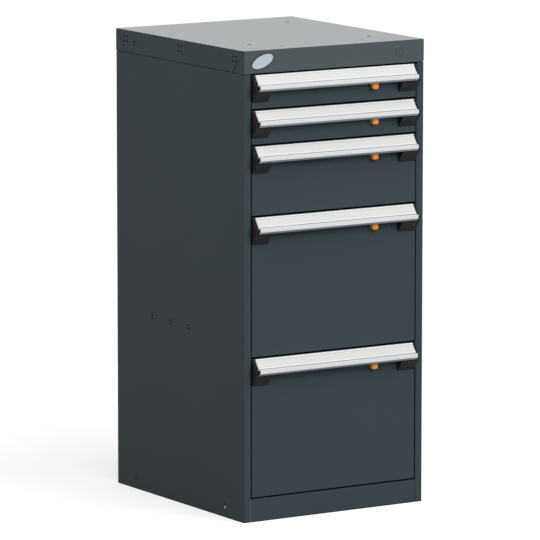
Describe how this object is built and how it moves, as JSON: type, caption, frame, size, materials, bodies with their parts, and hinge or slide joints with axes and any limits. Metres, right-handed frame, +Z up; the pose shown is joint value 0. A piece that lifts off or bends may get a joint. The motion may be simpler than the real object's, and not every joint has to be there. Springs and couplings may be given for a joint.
{
  "type": "modular drawer cabinet",
  "caption": "Tall narrow steel cabinet with full-extension drawers, each with a full-width label handle and a thumb latch, for storing tools or lab supplies.",
  "frame": {"origin": "on the floor, under the middle of the outline, handles included", "axes": "+Z up, -Y the front where the drawers open, +X the right of the cabinet seen from the front"},
  "size_m": [0.4572, 0.5558, 1.016],
  "materials": {
    "housing_paint": "semi-gloss powder coat",
    "drawer_paint": "semi-gloss powder coat",
    "handle_aluminium": "satin anodised",
    "black_plastic": "satin",
    "orange_plastic": "satin",
    "label_white": "satin",
    "slide_steel": "zinc plated",
    "zinc_steel": "zinc plated",
    "badge_metal": "satin"
  },
  "bodies": {
    "housing": {"side_panel_left": "housing_paint", "side_panel_right": "housing_paint", "lid": "housing_paint", "back_panel": "housing_paint", "bottom_panel": "housing_paint", "plinth": "housing_paint", "slide_uprights": "zinc_steel", "latch_strikes": "zinc_steel", "housing_screws": "zinc_steel", "badge": "badge_metal", "slide_outer_1": "slide_steel", "slide_outer_2": "slide_steel", "slide_outer_3": "slide_steel", "slide_outer_4": "slide_steel", "slide_outer_5": "slide_steel"},
    "drawer_1": {"drawer_tray_1": "drawer_paint", "drawer_front_1": "drawer_paint", "handle_1": "handle_aluminium", "handle_caps_1": "black_plastic", "label_strip_1": "label_white", "slide_inner_1": "slide_steel"},
    "slide_carriage_1": {"slide_middle_1": "slide_steel"},
    "latch_1": {"latch_tab_1": "orange_plastic", "latch_bar_1": "zinc_steel"},
    "drawer_2": {"drawer_tray_2": "drawer_paint", "drawer_front_2": "drawer_paint", "handle_2": "handle_aluminium", "handle_caps_2": "black_plastic", "label_strip_2": "label_white", "slide_inner_2": "slide_steel"},
    "slide_carriage_2": {"slide_middle_2": "slide_steel"},
    "latch_2": {"latch_tab_2": "orange_plastic", "latch_bar_2": "zinc_steel"},
    "drawer_3": {"drawer_tray_3": "drawer_paint", "drawer_front_3": "drawer_paint", "handle_3": "handle_aluminium", "handle_caps_3": "black_plastic", "label_strip_3": "label_white", "slide_inner_3": "slide_steel"},
    "slide_carriage_3": {"slide_middle_3": "slide_steel"},
    "latch_3": {"latch_tab_3": "orange_plastic", "latch_bar_3": "zinc_steel"},
    "drawer_4": {"drawer_tray_4": "drawer_paint", "drawer_front_4": "drawer_paint", "handle_4": "handle_aluminium", "handle_caps_4": "black_plastic", "label_strip_4": "label_white", "slide_inner_4": "slide_steel"},
    "slide_carriage_4": {"slide_middle_4": "slide_steel"},
    "latch_4": {"latch_tab_4": "orange_plastic", "latch_bar_4": "zinc_steel"},
    "drawer_5": {"drawer_tray_5": "drawer_paint", "drawer_front_5": "drawer_paint", "handle_5": "handle_aluminium", "handle_caps_5": "black_plastic", "label_strip_5": "label_white", "slide_inner_5": "slide_steel"},
    "slide_carriage_5": {"slide_middle_5": "slide_steel"},
    "latch_5": {"latch_tab_5": "orange_plastic", "latch_bar_5": "zinc_steel"}
  },
  "joints": [
    {"name": "drawer_slide_1", "type": "slide", "parent": "housing", "child": "drawer_1", "axis": [0, -1, 0], "range_m": [0, 0.4572]},
    {"name": "carriage_slide_1", "type": "slide", "parent": "housing", "child": "slide_carriage_1", "axis": [0, -1, 0], "range_m": [0, 0.2286]},
    {"name": "latch_slide_1", "type": "slide", "parent": "drawer_1", "child": "latch_1", "axis": [1, 0, 0], "range_m": [0, 0.006]},
    {"name": "drawer_slide_2", "type": "slide", "parent": "housing", "child": "drawer_2", "axis": [0, -1, 0], "range_m": [0, 0.4572]},
    {"name": "carriage_slide_2", "type": "slide", "parent": "housing", "child": "slide_carriage_2", "axis": [0, -1, 0], "range_m": [0, 0.2286]},
    {"name": "latch_slide_2", "type": "slide", "parent": "drawer_2", "child": "latch_2", "axis": [1, 0, 0], "range_m": [0, 0.006]},
    {"name": "drawer_slide_3", "type": "slide", "parent": "housing", "child": "drawer_3", "axis": [0, -1, 0], "range_m": [0, 0.4572]},
    {"name": "carriage_slide_3", "type": "slide", "parent": "housing", "child": "slide_carriage_3", "axis": [0, -1, 0], "range_m": [0, 0.2286]},
    {"name": "latch_slide_3", "type": "slide", "parent": "drawer_3", "child": "latch_3", "axis": [1, 0, 0], "range_m": [0, 0.006]},
    {"name": "drawer_slide_4", "type": "slide", "parent": "housing", "child": "drawer_4", "axis": [0, -1, 0], "range_m": [0, 0.4572]},
    {"name": "carriage_slide_4", "type": "slide", "parent": "housing", "child": "slide_carriage_4", "axis": [0, -1, 0], "range_m": [0, 0.2286]},
    {"name": "latch_slide_4", "type": "slide", "parent": "drawer_4", "child": "latch_4", "axis": [1, 0, 0], "range_m": [0, 0.006]},
    {"name": "drawer_slide_5", "type": "slide", "parent": "housing", "child": "drawer_5", "axis": [0, -1, 0], "range_m": [0, 0.4572]},
    {"name": "carriage_slide_5", "type": "slide", "parent": "housing", "child": "slide_carriage_5", "axis": [0, -1, 0], "range_m": [0, 0.2286]},
    {"name": "latch_slide_5", "type": "slide", "parent": "drawer_5", "child": "latch_5", "axis": [1, 0, 0], "range_m": [0, 0.006]}
  ],
  "couplings": [
    {"joint": "carriage_slide_1", "follows": "drawer_slide_1", "ratio": 0.5},
    {"joint": "carriage_slide_2", "follows": "drawer_slide_2", "ratio": 0.5},
    {"joint": "carriage_slide_3", "follows": "drawer_slide_3", "ratio": 0.5},
    {"joint": "carriage_slide_4", "follows": "drawer_slide_4", "ratio": 0.5},
    {"joint": "carriage_slide_5", "follows": "drawer_slide_5", "ratio": 0.5}
  ]
}
